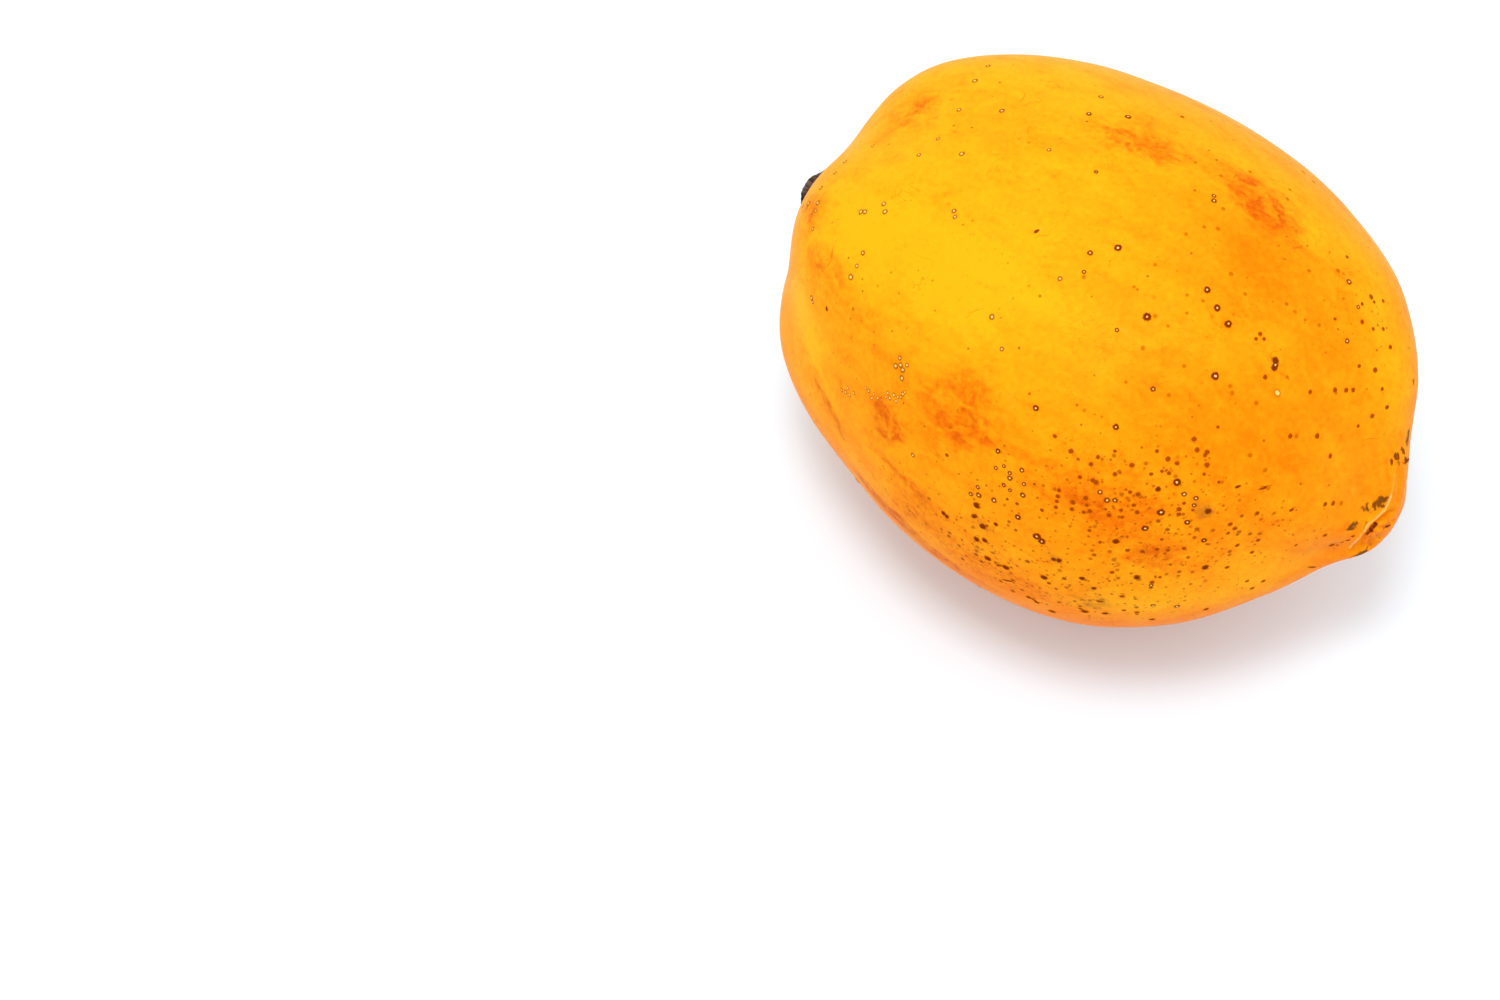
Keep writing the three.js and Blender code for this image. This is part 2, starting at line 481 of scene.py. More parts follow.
def seen_at(x, y):
    """The place and normal on the skin that the photograph shows at a pixel."""
    across = (x - PHOTO_WIDTH / 2) / focal_pixels
    down = (y - PHOTO_HEIGHT / 2) / focal_pixels
    place, normal, _, _ = skin_tree.ray_cast(eye, right * across - up * down - back)
    return (np.array(place), np.array(normal)) if place else None


def corners_of(mesh, what):
    """The positions or normals of all corners of a mesh."""
    numbers = np.empty(len(mesh.vertices) * 3)
    mesh.vertices.foreach_get(what, numbers)
    return numbers.reshape(-1, 3)


SOFTNESS = 2  # a soft edge has fallen to e to the power of minus this at its width


def near_line(corners, pixels, width_mm):
    """1 on a line through pixels of the photograph, falling softly to 0 at about its width."""
    places = [seen_at(*pixel)[0] for pixel in pixels if seen_at(*pixel)]
    gap = np.full(len(corners), np.inf)
    for start, end in zip(places, places[1:]):
        step = end - start
        share = np.clip((corners - start) @ step / (step @ step), 0, 1)
        gap = np.minimum(gap, np.linalg.norm(corners - start - share[:, None] * step, axis=1))
    return np.exp(-SOFTNESS * (gap / (width_mm * MM)) ** 2)


# %% Pressing the creases in
CREASES = [  # width and depth in mm, and the pixels along the line; a lip has a depth below 0
    (1.0, -0.5, (
        (1350, 547), (1357, 539), (1364, 530), (1370, 523), (1377, 517), (1385, 511), (1391, 505),
    )),
    (0.8, -0.25, ((1391, 505), (1393, 492), (1394, 480), (1395, 470))),
    (1.3, 1.1, ((1354, 550), (1361, 542), (1367, 535), (1373, 527), (1380, 521), (1388, 514))),
    (1.0, 1.0, ((1367, 534), (1374, 525))),
    (0.8, 0.7, ((1376, 524), (1386, 517), (1393, 512))),
    (0.8, 0.6, ((1374, 529), (1386, 527), (1394, 521))),
    (0.9, 0.7, ((1370, 534), (1371, 541), (1370, 548))),
    (0.8, 0.6, ((1365, 537), (1362, 546), (1358, 552))),
    (0.8, 0.6, ((1372, 531), (1380, 538))),
    (1.0, 0.45, ((1398, 470), (1399, 488), (1397, 503))),
]
before = corners_of(skin.data, "co")
facing = corners_of(skin.data, "normal")
pressed = sum(depth * MM * near_line(before, pixels, width) for width, depth, pixels in CREASES)
skin.data.vertices.foreach_set("co", (before - facing * pressed[:, None]).ravel())
skin.data.update()
print("deepest crease in mm", round(float(pressed.max() / MM), 2))

# %% [markdown]
# ## Where things lie on the skin
# Blush, freckles and pores have their places on this fruit. They could be found by eye in the
# viewport. Here a place is given as a distance along the fruit in millimetres and a turn about it
# in degrees, and the nearest corner of the skin answers with its position and normal.

# %% Finding places on the skin
CORNERS = corners_of(skin.data, "co")
NORMALS = corners_of(skin.data, "normal")
FRUIT_PLACES = np.array([item.vector for item in skin.data.attributes["fruit_place"].data])
BELLY = 55 * MM
skin_tree = searchable(skin.data)


def skin_at(along, turn):
    """The skin's corner nearest to a distance along the fruit, in mm, and a turn, in degrees."""
    angle = math.radians(turn)
    wanted = np.array([along * MM, BELLY * math.cos(angle), BELLY * math.sin(angle)])
    gaps = FRUIT_PLACES * np.array([1, BELLY, BELLY]) - wanted
    index = int(np.argmin((gaps ** 2).sum(axis=1)))
    return CORNERS[index], NORMALS[index]


def patches(places, find=skin_at):
    """A soft field over the skin: each patch has a place, a length, a width and a strength."""
    field = np.zeros(len(CORNERS))
    for first, second, length_mm, width_mm, strength in places:
        reach = CORNERS - find(first, second)[0]
        lengthwise = reach[:, 0] / (length_mm * MM)
        sideways = np.hypot(reach[:, 1], reach[:, 2]) / (width_mm * MM)
        field += strength * np.exp(-SOFTNESS * (lengthwise ** 2 + sideways ** 2))
    return field


def streaks(lines):
    """A field along lines of pixels: each line has a width in mm, a strength and its pixels."""
    return sum(strength * near_line(CORNERS, pixels, width) for width, strength, pixels in lines)


def store(name, field):
    """Keeps a field on the skin as a named attribute, which its material reads."""
    attribute = skin.data.attributes.new(name, "FLOAT", "POINT")
    attribute.data.foreach_set("value", np.asarray(field, dtype=np.float32))


# %% [markdown]
# The blush of a ripe papaya comes in cloudy patches and short streaks, and freckles gather where
# the fruit hung in the sun or rubbed. They could be painted on an image, but soft fields kept on the
# corners need no image and have no seam. A patch has a length and a width in millimetres and a
# strength, and is placed by a pixel, or by a distance along the fruit and a turn where it is hidden.
# All the lists that follow have these two forms, and a streak is a line through pixels.

# %% Blush and freckles
# Some of these blush patches are painted shade: the two at the blossom end, and the strong ones along the
# lower-left edge in part.
BLUSH_AND_SHADE_SEEN = [  # pixel, length, width and strength of each patch that the photograph shows
    (956, 419, 17, 13, 1.0), (975, 430, 9, 7, 0.4), (888, 428, 7, 5, 2.2), (822, 262, 12, 8, 0.6),
    (835, 300, 14, 10, 0.2), (870, 330, 20, 10, 0.3), (908, 112, 9, 9, 0.8), (930, 105, 10, 4, 0.5),
    (1125, 140, 12, 6, 0.6), (1170, 150, 10, 6, 0.4), (1150, 158, 14, 4, 0.5), (1120, 138, 6, 5, 0.4),
    (1250, 188, 12, 8, 0.8), (1264, 204, 9, 8, 1.2), (1272, 212, 12, 10, 0.3), (1300, 250, 20, 10, 0.25),
    (830, 395, 12, 8, 0.5), (836, 420, 10, 4, 0.4), (875, 445, 10, 5, 0.4), (915, 495, 14, 6, 0.5),
    (930, 525, 26, 8, 0.5), (1000, 575, 30, 8, 0.5), (1100, 490, 24, 13, 0.5), (1075, 500, 16, 9, 0.4),
    (870, 490, 10, 4, 1.2), (900, 520, 12, 4, 1.3), (930, 550, 12, 4, 1.3), (962, 572, 14, 4, 1.0),
    (1150, 558, 8, 5, 0.9), (1180, 140, 8, 6, 0.3),
    (1165, 555, 14, 8, 0.7), (1130, 520, 30, 9, 0.35), (940, 132, 12, 8, 0.25), (810, 210, 8, 8, 0.5),
    (1300, 560, 26, 8, 0.2), (1240, 480, 26, 12, 0.25), (960, 260, 8, 6, 0.12), (1035, 172, 7, 4, 0.35),
    (905, 320, 5, 4, 0.35), (985, 345, 5, 3, 0.4), (972, 382, 8, 4, 0.4), (1384, 527, 3, 5, 0.7),
    (1368, 543, 3, 5, 0.7), (812, 215, 5, 5, 0.6), (806, 206, 4, 3, 0.8), (850, 393, 5, 4, 0.7),
    (880, 397, 6, 4, 0.7), (900, 394, 4, 3, 0.5), (1140, 130, 20, 9, 0.3),
]
BLUSH_LINES = [  # width in mm and strength of a streak, and the pixels along it
    (1.4, 0.65, ((817, 383), (828, 402), (837, 422), (844, 440))),
    (1.2, 0.1, ((822, 262), (812, 290), (808, 320))),
    (1.3, 0.6, ((893, 470), (908, 482), (925, 500))), (1.2, 0.5, ((866, 446), (880, 455), (897, 470))),
    (1.2, 0.4, ((857, 396), (862, 412), (872, 428))), (1.2, 0.5, ((1384, 452), (1388, 480), (1384, 500))),
]
BLUSH_HIDDEN = [  # along, turn, length, width and strength of the patches on the other sides
    (60, 250, 24, 16, 0.8), (100, 290, 18, 14, 0.6), (30, 310, 16, 12, 0.7), (75, 10, 22, 12, 0.7),
    (115, 225, 18, 12, 0.5), (40, 215, 20, 12, 0.6), (90, 335, 26, 12, 0.6), (20, 20, 10, 14, 0.5),
]
FRECKLED_SEEN = [
    (1100, 500, 34, 20, 0.9), (1180, 540, 34, 18, 0.9), (1000, 560, 34, 16, 0.8), (1120, 600, 40, 12, 0.8),
    (1260, 530, 36, 16, 0.6), (1330, 340, 30, 24, 0.12), (1375, 310, 20, 14, 0.3), (1200, 280, 26, 18, 0.08),
    (1010, 560, 30, 9, 0.5), (1110, 575, 44, 9, 0.5),
    (1180, 460, 26, 12, 0.3), (985, 500, 14, 10, 0.6), (870, 390, 14, 8, 0.4), (870, 300, 20, 14, 0.2),
    (1250, 200, 26, 16, 0.12), (1000, 250, 40, 30, 0.06), (1080, 600, 40, 9, 0.6), (1200, 590, 40, 9, 0.5),
]
FRECKLED_HIDDEN = [
    (70, 215, 60, 24, 0.7), (80, 290, 60, 40, 0.4), (130, 250, 40, 40, 0.5), (90, 20, 50, 30, 0.3),
    (110, 330, 40, 30, 0.35),
]

# %% Olive stains, where the skin is yellower or more orange, and painted highlights
OLIVE_SEEN = [
    (1050, 555, 9, 3, 0.2), (1100, 602, 16, 5, 0.45), (1020, 588, 12, 3, 0.3), (975, 520, 8, 5, 0.3),
    (1208, 511, 4, 4, 0.7), (1190, 502, 5, 4, 0.4), (1116, 541, 4, 3.5, 0.4), (1056, 559, 5, 3, 0.25),
    (1162, 556, 4, 3, 0.3),
    (985, 520, 8, 5, 0.4), (1082, 605, 12, 4, 0.5), (1275, 364, 3, 3, 0.5), (1137, 577, 3, 3, 0.4),
]
OLIVE_LINES = [
    (2.0, 0.45, ((1030, 530), (1044, 546), (1056, 560), (1076, 574), (1092, 588), (1104, 602))),
    (1.2, 0.4, ((1076, 560), (1100, 580), (1120, 596))),
    (1.2, 0.4, ((1010, 560), (1034, 582), (1060, 598))),
]
OLIVE_HIDDEN = [
    (60, 215, 30, 12, 0.6), (95, 240, 24, 8, 0.7), (50, 300, 12, 6, 0.6), (120, 300, 14, 6, 0.6),
    (146, 250, 6, 8, 0.7), (146, 330, 5, 6, 0.6),
]
# Yellower patches; those on the upper left and along the right rim paint a highlight and sheen.
YELLOW_AND_HIGHLIGHT_SEEN = [
    (812, 345, 12, 8, 0.5), (800, 300, 10, 6, 0.5), (850, 455, 12, 5, 0.3),
    (865, 235, 20, 14, 0.35), (950, 290, 26, 16, 0.28), (1040, 290, 34, 18, 0.16), (960, 200, 30, 20, 0.12),
    (1300, 220, 16, 9, 0.3), (1250, 570, 34, 16, 0.3), (1130, 600, 44, 14, 0.35), (1390, 340, 34, 14, 0.3),
    (1020, 560, 24, 10, 0.1), (1400, 410, 22, 10, 0.35), (1160, 606, 50, 12, 0.3), (1256, 586, 30, 10, 0.3),
    (1280, 330, 12, 9, 0.2),
]
ORANGE_SEEN = [
    (1250, 250, 34, 22, 0.45), (1310, 330, 30, 24, 0.2), (1000, 110, 30, 14, 0.12), (900, 400, 30, 12, 0.2),
    (1000, 430, 30, 12, 0.1), (1210, 430, 26, 16, 0.4), (1290, 440, 24, 12, 0.15), (1130, 310, 20, 12, 0.15),
    (1100, 510, 24, 12, 0.2),
]

# %% [markdown]
# At the blossom end the creases are lined with dark scar tissue and smudges, and the lines along the
# valley behind the lip are painted shade in the scar's colour. A pale line along the lip is a painted
# highlight. These follow lines through pixels, as the creases do, so colour and relief agree.

# %% Lines at the blossom end
SCAR_AND_SHADE_LINES = [  # width in mm and strength of a dark red-brown line, and the pixels along it; scar tissue, and painted shade along the valley behind the lip
    (0.75, 1.3, ((1367, 534), (1371, 529), (1375, 524))), (0.4, 0.5, ((1376, 523), (1385, 518))),
    (0.5, 0.8, ((1384, 528), (1390, 525))), (0.5, 0.5, ((1350, 549), (1358, 541), (1364, 535))),
    (0.5, 0.6, ((1372, 531), (1380, 538))), (0.5, 0.5, ((1370, 536), (1370, 546))),
    (0.7, 0.8, ((1362, 556), (1368, 547))), (0.6, 0.5, ((1332, 545), (1342, 542), (1352, 537))),
]
SMUDGE_LINES = [  # the same for streaky dark olive smudges
    (2.0, 0.85, ((1364, 508), (1371, 508), (1377, 505), (1380, 501))),
    (1.3, 0.7, ((1384, 505), (1387, 499))),
    (1.9, 1.0, ((1351, 528), (1354, 525))), (0.9, 0.8, ((1363, 528), (1366, 523))),
    (1.5, 1.2, ((1346, 560), (1354, 557), (1361, 554))), (1.6, 1.1, ((1331, 558), (1338, 562))),
    (1.1, 0.9, ((1362, 554), (1367, 548))), (1.1, 1.1, ((1402, 448), (1406, 462))),
    (1.5, 1.05, ((1409, 428), (1407, 444))), (1.0, 0.9, ((1412, 424), (1412, 442))),
    (0.9, 0.9, ((1395, 455), (1400, 463))), (1.0, 0.9, ((1405, 462), (1410, 458))),
]
LIP_HIGHLIGHT_LINES = [  # the same for a painted highlight along the lip
    (0.45, 1.0, (
        (1350, 548), (1357, 540), (1364, 531), (1369, 524), (1377, 518), (1384, 511), (1388, 504),
        (1391, 496),
    )),
    (0.4, 0.5, ((1391, 496), (1393, 486), (1394, 476), (1396, 466))),
]

# %% [markdown]
# Under the patches the skin goes from yellow to orange towards the blossom end. It is also yellower
# on the side that faces up and back, towards the light, and more orange below: partly the skin's own
# colour and partly painted light and shade, given by the direction that each corner faces.

# %% The fields together
LIT_YELLOW_SIDE = np.array([-0.25, 0.35, 0.9])
ORANGE_MIDDLE = 0.59
ORANGE_AND_SHADE_BELOW = 0.37
ORANGE_AHEAD = 0.18
AHEAD_FROM = 60 * MM
AHEAD_REACH = 90 * MM
ahead = (FRUIT_PLACES[:, 0] - AHEAD_FROM) / AHEAD_REACH
# Painted light and shade mixed with the skin's own change: yellower facing up and back, more orange below.
orange_light_and_shade = ORANGE_MIDDLE - ORANGE_AND_SHADE_BELOW * NORMALS @ LIT_YELLOW_SIDE + ORANGE_AHEAD * ahead
orange_light_and_shade += patches(ORANGE_SEEN, seen_at) - patches(YELLOW_AND_HIGHLIGHT_SEEN, seen_at)
FIELDS = {
    "orange_light_and_shade": orange_light_and_shade,
    "blush_and_shade": patches(BLUSH_AND_SHADE_SEEN, seen_at) + patches(BLUSH_HIDDEN) + streaks(BLUSH_LINES),
    "freckled": patches(FRECKLED_SEEN, seen_at) + patches(FRECKLED_HIDDEN),
    "olive": patches(OLIVE_SEEN, seen_at) + patches(OLIVE_HIDDEN) + streaks(OLIVE_LINES),
    "scar_and_shade": streaks(SCAR_AND_SHADE_LINES),
    "smudge": streaks(SMUDGE_LINES),
    "lip_highlight": streaks(LIP_HIGHLIGHT_LINES),
}
for name, values in FIELDS.items():
    store(name, values)
    print(name, "from", round(float(values.min()), 2), "to", round(float(values.max()), 2))

# %% [markdown]
# ## Pores and spots
# Papaya skin has pores with a pale dot in a brown ring, one or two millimetres wide and just
# proud of the skin, and flat brown spots between them. The pale dot is partly cork and partly a
# painted highlight. A bump texture would vanish at the outline, so each one is a small low dome. A
# mesh of single points holds the places and the sizes, and a tree puts a dome on each point. Those
# that the photograph shows are placed by pixel, and random ones cover the other sides in the same
# mixture.

# %% Pores that the photograph shows
WIDE_PORES = [
    (1118, 248), (1147, 317), (1228, 324), (1036, 408), (1116, 427), (1215, 376),
    (998, 451), (1177, 482), (1161, 512), (1145, 528), (1018, 517), (1187, 522), (1204, 540),
    (1275, 365), (1207, 290), (1217, 308), (1037, 536), (1042, 541),
]
OPEN_PORES = [(1277, 393)]
LIGHT_PORES = [
    (873, 146), (845, 162), (919, 155), (938, 139), (962, 154), (959, 110), (975, 81), (988, 66),
    (861, 212), (865, 212), (885, 212), (813, 229), (954, 211), (955, 217), (863, 253), (857, 266),
    (812, 298), (813, 302), (992, 317), (900, 358), (896, 366), (901, 365), (907, 365), (903, 370),
    (902, 378), (1002, 111), (1101, 97), (1049, 150), (1002, 349), (851, 277), (821, 188), (835, 173),
    (809, 204), (818, 203), (884, 204), (913, 455), (1060, 279), (803, 206), (816, 211),
]
PORES = [
    (1089, 114), (1128, 117), (1096, 172), (1214, 196), (1090, 253),
    (1084, 272), (1117, 330), (1153, 389), (1100, 492), (1107, 500),
    (1115, 500), (1184, 494), (1196, 498), (1194, 505), (1004, 466), (1010, 473), (1010, 478),
    (1024, 484), (1004, 485), (1010, 490), (1023, 495), (996, 468), (978, 487), (979, 495),
    (971, 494), (994, 500), (1214, 201), (1349, 282), (1358, 307), (1347, 341), (1153, 605),
    (1177, 606), (1151, 585), (1022, 470),
]
CRUST = [
    (846, 392), (850, 395), (854, 393), (866, 388), (869, 391), (874, 394), (878, 398), (882, 400),
    (886, 397), (890, 398), (894, 395), (898, 397), (901, 397), (903, 394), (905, 392), (872, 398),
    (888, 393), (896, 401), (848, 388), (842, 390),
]

# %% Spots and cracks that the photograph shows
DARK_SPOTS = [
    (977, 505), (974, 516), (983, 526), (996, 524), (977, 539), (988, 558), (1054, 559), (1059, 560),
    (1044, 577), (1094, 588), (1116, 541), (1137, 577), (1208, 511), (1205, 567), (1206, 609),
    (1158, 489), (944, 513), (947, 516), (1082, 578), (1275, 361), (1274, 368), (1029, 597),
    (1037, 602), (1052, 611), (1152, 619), (1085, 611), (1105, 613), (985, 540), (1006, 567),
]
FAINT_SPOTS = [
    (1084, 277), (1155, 265), (1134, 287), (1155, 316), (1168, 326), (1203, 301), (1187, 295),
    (1187, 313), (1143, 348), (1186, 234), (1204, 227), (1218, 229), (1169, 395), (1126, 382),
    (1184, 366), (1303, 172), (1290, 190), (1287, 199), (1279, 216), (1223, 209), (1338, 271),
    (1231, 274), (1309, 271), (1245, 294), (1305, 320), (1319, 325), (1250, 172), (1182, 117),
    (1287, 377), (1230, 386), (1232, 393), (1256, 403), (1336, 393), (1262, 487), (1268, 488),
    (1274, 513), (1261, 519), (1341, 503), (1296, 436), (1250, 455), (1265, 470), (1222, 482),
]
SPOTS = [
    (1372, 416), (1099, 601), (1123, 596), (1137, 612), (1055, 436), (1071, 451), (1115, 451),
    (1098, 457), (1091, 464), (1132, 465),
    (1157, 451), (1168, 459), (1177, 463), (1115, 474), (1093, 480), (1096, 482), (1080, 477),
    (1169, 473), (1151, 474), (1162, 471), (1130, 492), (1138, 494), (1086, 498), (1087, 505),
    (1072, 509), (1056, 507), (1058, 496), (1059, 490), (1057, 501), (1073, 502), (1084, 512),
    (1090, 511), (1109, 515), (1121, 510), (1122, 517), (1134, 505), (1137, 512), (1179, 509),
    (1179, 514), (1184, 503), (1194, 439), (1197, 450), (1207, 452), (1205, 455), (1207, 465),
    (1204, 474), (1218, 427), (1219, 482), (1042, 510), (1347, 257),
    (1362, 304), (1362, 322), (1256, 339), (1260, 334), (1264, 339), (1265, 377), (1335, 319),
    (1359, 366), (1375, 370), (1310, 392), (1335, 390), (1346, 390), (1353, 390),
    (1382, 389), (1387, 407), (1358, 426), (1290, 436), (1317, 436), (1371, 297), (1374, 302),
    (1383, 301), (1383, 329), (1373, 329), (1390, 347), (1397, 457), (1403, 452), (1330, 456),
    (1257, 513), (1291, 510), (1230, 524), (1235, 528), (1228, 533), (1258, 540), (1237, 545),
    (1252, 552), (1296, 545), (1325, 535), (1227, 567), (1263, 581), (1252, 588), (1247, 581),
    (1325, 504), (1333, 503), (1332, 545), (1337, 545), (1342, 542), (1348, 540), (1353, 536),
    (1082, 578), (1152, 582), (1001, 581), (1013, 580), (998, 565), (1013, 591), (1080, 606),
    (1099, 601), (1137, 614), (1124, 610), (1122, 596), (1157, 549), (1168, 550), (1184, 548),
    (1100, 542), (947, 455), (1182, 117), (1049, 583), (1160, 577), (1112, 572),
]
SLITS = [  # the two ends of each thin dark crack
    ((826, 306), (827, 312)), ((1033, 234), (1040, 229)), ((1391, 457), (1392, 467)),
    ((1397, 452), (1399, 461)), ((1402, 448), (1405, 455)), ((1414, 377), (1413, 387)),
    ((1311, 180), (1316, 184)), ((1306, 567), (1318, 567)), ((1404, 463), (1409, 459)),
    ((1234, 488), (1242, 485)), ((1256, 490), (1273, 485)), ((1290, 512), (1294, 507)),
    ((1028, 596), (1041, 604)), ((975, 503), (980, 507)), ((972, 513), (979, 518)),
    ((981, 527), (989, 525)), ((996, 563), (1009, 569)), ((1000, 579), (1015, 582)),
    ((1076, 607), (1088, 611)), ((1094, 600), (1106, 602)), ((826, 305), (828, 312)),
]

# %% What each kind of mark is like
KINDS = {  # width in mm, paleness of the middle (cork and a painted highlight), redness and depth of the brown
    "wide pore": (2.0, 1.0, 0.0, 1.0),
    "pore": (1.55, 1.0, 0.3, 1.0),
    "light pore": (1.55, 1.0, 0.9, 1.0),
    "open pore": (2.0, 1.0, 1.6, 0.7),
    "crust": (1.2, 1.0, 1.0, 0.8),
    "dark spot": (2.0, 0.0, 0.0, 1.0),
    "spot": (1.4, 0.0, 1.0, 1.0),
    "faint spot": (1.25, 0.0, 1.0, 0.6),
    "slit": (1.0, 0.0, 0.3, 1.0),
}
SEED = 7
WIDTH_SPREAD = 0.22
random = np.random.default_rng(SEED)


def mark(found, kind, heading=(1.0, 0.0, 0.0), length_mm=0.0):
    """One mark: position, normal, heading, width, length, its kind's values and the skin's fields."""
    width, *nature = KINDS[kind]
    place, normal = found
    width = width * MM * random.uniform(1 - WIDTH_SPREAD, 1 + WIDTH_SPREAD)
    nearest = int(((CORNERS - place) ** 2).sum(axis=1).argmin())
    local = [values[nearest] for values in FIELDS.values()]
    return place, normal, heading, width, max(width, length_mm * MM), *nature, *local


def slit(first, second):
    """A long thin mark between two pixels."""
    start, end = seen_at(*first)[0], seen_at(*second)[0]
    middle = (first[0] + second[0]) / 2, (first[1] + second[1]) / 2
    return mark(seen_at(*middle), "slit", end - start, np.linalg.norm(end - start) / MM)


# %% Place the marks that the photograph shows
SEEN = {
    "wide pore": WIDE_PORES, "pore": PORES, "light pore": LIGHT_PORES, "crust": CRUST,
    "dark spot": DARK_SPOTS, "spot": SPOTS, "faint spot": FAINT_SPOTS, "open pore": OPEN_PORES,
}
marks = []
for kind, pixels in SEEN.items():
    marks += [mark(seen_at(*pixel), kind) for pixel in pixels if seen_at(*pixel)]
marks += [slit(*ends) for ends in SLITS if all(seen_at(*end) for end in ends)]
print("marks that the photograph shows", len(marks))

# %% [markdown]
# No photograph shows the other sides, so their marks are drawn at random from a fixed seed. They
# could be spread evenly, but real ones gather where the skin is freckled and never lie on each other.

# %% Marks on the other sides
HIDDEN_COUNT = 320
SPARE_DRAWS = 3  # places drawn for each mark, because some lie too close to another mark
PLAIN_CHANCE = 0.25  # for a mark on plain skin, against 1 more where it is fully freckled
AWAY = -0.05  # the skin faces away from the camera when its normal points this far towards it
MARK_GAP = 2.5 * MM
FOOT_CLEAR = 6 * MM
HIDDEN_KINDS = ["wide pore", "pore", "light pore", "dark spot", *["spot", "faint spot"] * 3]


def hidden_marks():
    """Seeded marks where the camera doesn't look, thicker where the skin is freckled."""
    away = NORMALS @ np.array(back) < AWAY
    freckled = patches(FRECKLED_HIDDEN)
    chance = (away & (CORNERS[:, 2] > FOOT_CLEAR)) * (PLAIN_CHANCE + freckled)
    draws = SPARE_DRAWS * HIDDEN_COUNT
    order = random.choice(len(CORNERS), draws, replace=False, p=chance / chance.sum())
    taken = []
    for index in order:
        if len(taken) == HIDDEN_COUNT:
            break
        if all(np.linalg.norm(CORNERS[index] - CORNERS[other]) > MARK_GAP for other in taken):
            taken.append(index)
    kinds = random.choice(HIDDEN_KINDS, len(taken))
    return [mark((CORNERS[index], NORMALS[index]), kind) for index, kind in zip(taken, kinds)]


marks += hidden_marks()
print("marks in all", len(marks))

# %% [markdown]
# Each dome is a ball with few faces, pressed almost flat and sunk a little into the skin. It faces
# the way the skin does, and a crack's dome is drawn out along the crack. The points also carry the
# fields of the skin below them, so that a mark's rim can take on the exact colour around it.

# %% The tree that puts a dome on each point
PORE_SIZES = {
    "Segments": 8,
    "Rings": 6,
    "Height share": 0.11,
    "Sink share": 0.02,
}


def point_object(name, points):
    """Single points, with all that is known of each mark as attributes."""
    mesh = bpy.data.meshes.new(name)
    mesh.from_pydata([tuple(point[0]) for point in points], [], [])
    for column, label in enumerate(("facing", "heading"), start=1):
        vectors = np.array([point[column] for point in points]).ravel()
        mesh.attributes.new(label, "FLOAT_VECTOR", "POINT").data.foreach_set("vector", vectors)
    for column, label in enumerate(("width", "length", "pale_and_highlight", "red", "depth", *FIELDS), start=3):
        values = [point[column] for point in points]
        mesh.attributes.new(label, "FLOAT", "POINT").data.foreach_set("value", values)
    holder = bpy.data.objects.new(name, mesh)
    bpy.context.scene.collection.objects.link(holder)
    return holder


def named(bench, name, data_type):
    settings = {"data_type": data_type}
    return bench.node("GeometryNodeInputNamedAttribute", settings, {"Name": name})


def pore_tree(material):
    bench, sizes = new_tree("pores", PORE_SIZES)
    ball = bench.node(
        "GeometryNodeMeshUVSphere",
        values={"Segments": sizes["Segments"], "Rings": sizes["Rings"], "Radius": 0.5},
    )
    x, y, z = bench.split(bench.node("GeometryNodeInputPosition"))
    across = maths("SQRT", x * x + y * y) * 2
    ball = bench.node(
        "GeometryNodeStoreNamedAttribute",
        {"data_type": "FLOAT", "domain": "POINT"},
        {"Geometry": ball, "Name": "across", "Value": across},
    )
    low = bench.join(x, y, z * 2 * sizes["Height share"] - sizes["Sink share"])
    ball = bench.node("GeometryNodeSetPosition", values={"Geometry": ball, "Position": low})
    facing = named(bench, "facing", "FLOAT_VECTOR")
    turned = bench.node("FunctionNodeAlignRotationToVector", {"axis": "Z"}, {"Vector": facing})
    settings = {"axis": "X", "pivot_axis": "Z"}
    heading = {"Rotation": turned, "Vector": named(bench, "heading", "FLOAT_VECTOR")}
    turned = bench.node("FunctionNodeAlignRotationToVector", settings, heading)
    width = named(bench, "width", "FLOAT")
    placed = bench.node(
        "GeometryNodeInstanceOnPoints",
        values={
            "Points": sizes["Geometry"], "Instance": ball,
            "Rotation": turned, "Scale": bench.join(named(bench, "length", "FLOAT"), width, width),
        },
    )
    closed_and_smooth(bench, placed, material)
    return bench


PORE = bpy.data.materials.new("corky pore")
pore_holder = point_object("pore_points", marks)
pore_piece = run_tree(pore_holder, pore_tree(PORE), PORE_SIZES, "papaya_pores")
bpy.data.objects.remove(pore_holder)
report(pore_piece)

# %% [markdown]
# ## The dried stub of the stalk
# What is left of the stalk is a short, dark, shrivelled stub in the hollow of the shoulder. It is
# turned from its own outline in the same way as the fruit, with folds along it from drying. Its end
# is torn, falls away on the far side and bends up a little. A cylinder with a bump texture would be
# quicker, but the stub breaks the outline of the fruit, where only real relief shows.

# %% The stub
STUB_OUTLINE = [  # height out of its socket and radius, in millimetres
    (0, 0), (0, 6.5), (1.6, 6.4), (4.5, 6), (8.5, 5.7), (11.2, 5.6), (12.6, 5), (13, 2.4), (12.6, 0),
]
STUB_FOOT = -71.1 * MM  # where it stands along the fruit and across it, from the fruit's middle
STUB_SIDE = -1 * MM
FOLD_WAVES = ((5, 1, 1.9), (9, 0.5, 4.7))  # count, size and start of each wave
FINE_WAVES = ((23, 1, 1), (37, 0.7, 3))
TEAR_WAVES = ((3, 1, 2), (7, 0.6, 1))
FOLD_HEIGHTS = (1 * MM, 5 * MM)
TEAR_HEIGHTS = (7 * MM, 12 * MM)
TEAR_RADII = (0, 3.5 * MM)
LEAN_HEIGHTS = (0, 13 * MM)
STUB_SIZES = {
    "Rings": 110,
    "Segments": 160,
    "Fold depth": 0.03,
    "Fine folds": 0.02,
    "Tear height": 0.2 * MM,
    "Slant": 1.5 * MM,
    "Rise": 1 * MM,
    "Lean": 0.8 * MM,
    "Lie tilt": SKIN_SIZES["Lie tilt"],
    "Middle": SKIN_SIZES["Middle"],
}


def sum_of_waves(waves, angle):
    return sum(size * cosine(count * angle + start) for count, size, start in waves)


